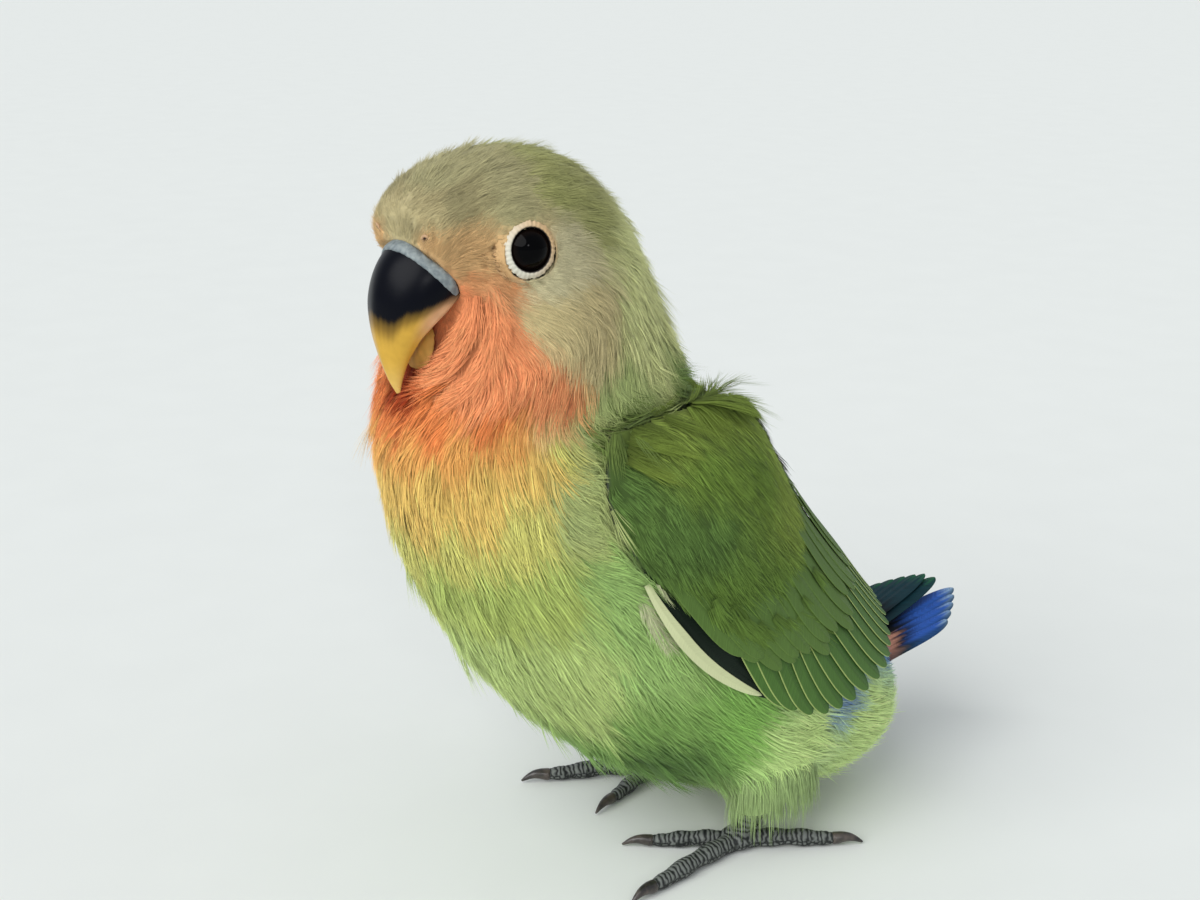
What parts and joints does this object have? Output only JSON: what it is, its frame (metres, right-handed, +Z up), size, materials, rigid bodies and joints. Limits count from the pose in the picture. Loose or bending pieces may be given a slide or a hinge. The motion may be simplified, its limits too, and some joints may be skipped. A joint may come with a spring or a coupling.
{
  "type": "model of a lovebird",
  "caption": "Life-size standing young lovebird with folded wings, a short raised tail and its head turned slightly to its left, a still display model.",
  "frame": {"origin": "middle of the model's box at the level of its soles", "axes": "+Z up, the bird faces -Y and its left side is +X"},
  "size_m": [0.0488, 0.0976, 0.1026],
  "materials": {
    "body_feather": "soft feather",
    "cere": "bare skin",
    "claw": "horn",
    "eye": "wet black",
    "foot": "scaled skin",
    "head_feather": "fine feather",
    "lower_bill": "yellow horn",
    "tail_feather": "blue and green feather",
    "throat_feather": "soft feather",
    "upper_bill": "horn, black over yellow",
    "wing_feather": "smooth green feather"
  },
  "bodies": {
    "root": {"cere": "cere", "head": "head_feather", "left_eye": "eye", "left_inner_back": "foot", "left_inner_back_claw": "claw", "left_inner_front": "foot", "left_inner_front_claw": "claw", "left_outer_back": "foot", "left_outer_back_claw": "claw", "left_outer_front": "foot", "left_outer_front_claw": "claw", "left_tarsus": "foot", "left_thigh": "body_feather", "left_wing": "wing_feather", "lower_bill": "lower_bill", "neck": "throat_feather", "right_eye": "eye", "right_inner_back": "foot", "right_inner_back_claw": "claw", "right_inner_front": "foot", "right_inner_front_claw": "claw", "right_outer_back": "foot", "right_outer_back_claw": "claw", "right_outer_front": "foot", "right_outer_front_claw": "claw", "right_tarsus": "foot", "right_thigh": "body_feather", "right_wing": "wing_feather", "tail": "tail_feather", "torso": "body_feather", "upper_bill": "upper_bill"}
  },
  "joints": []
}
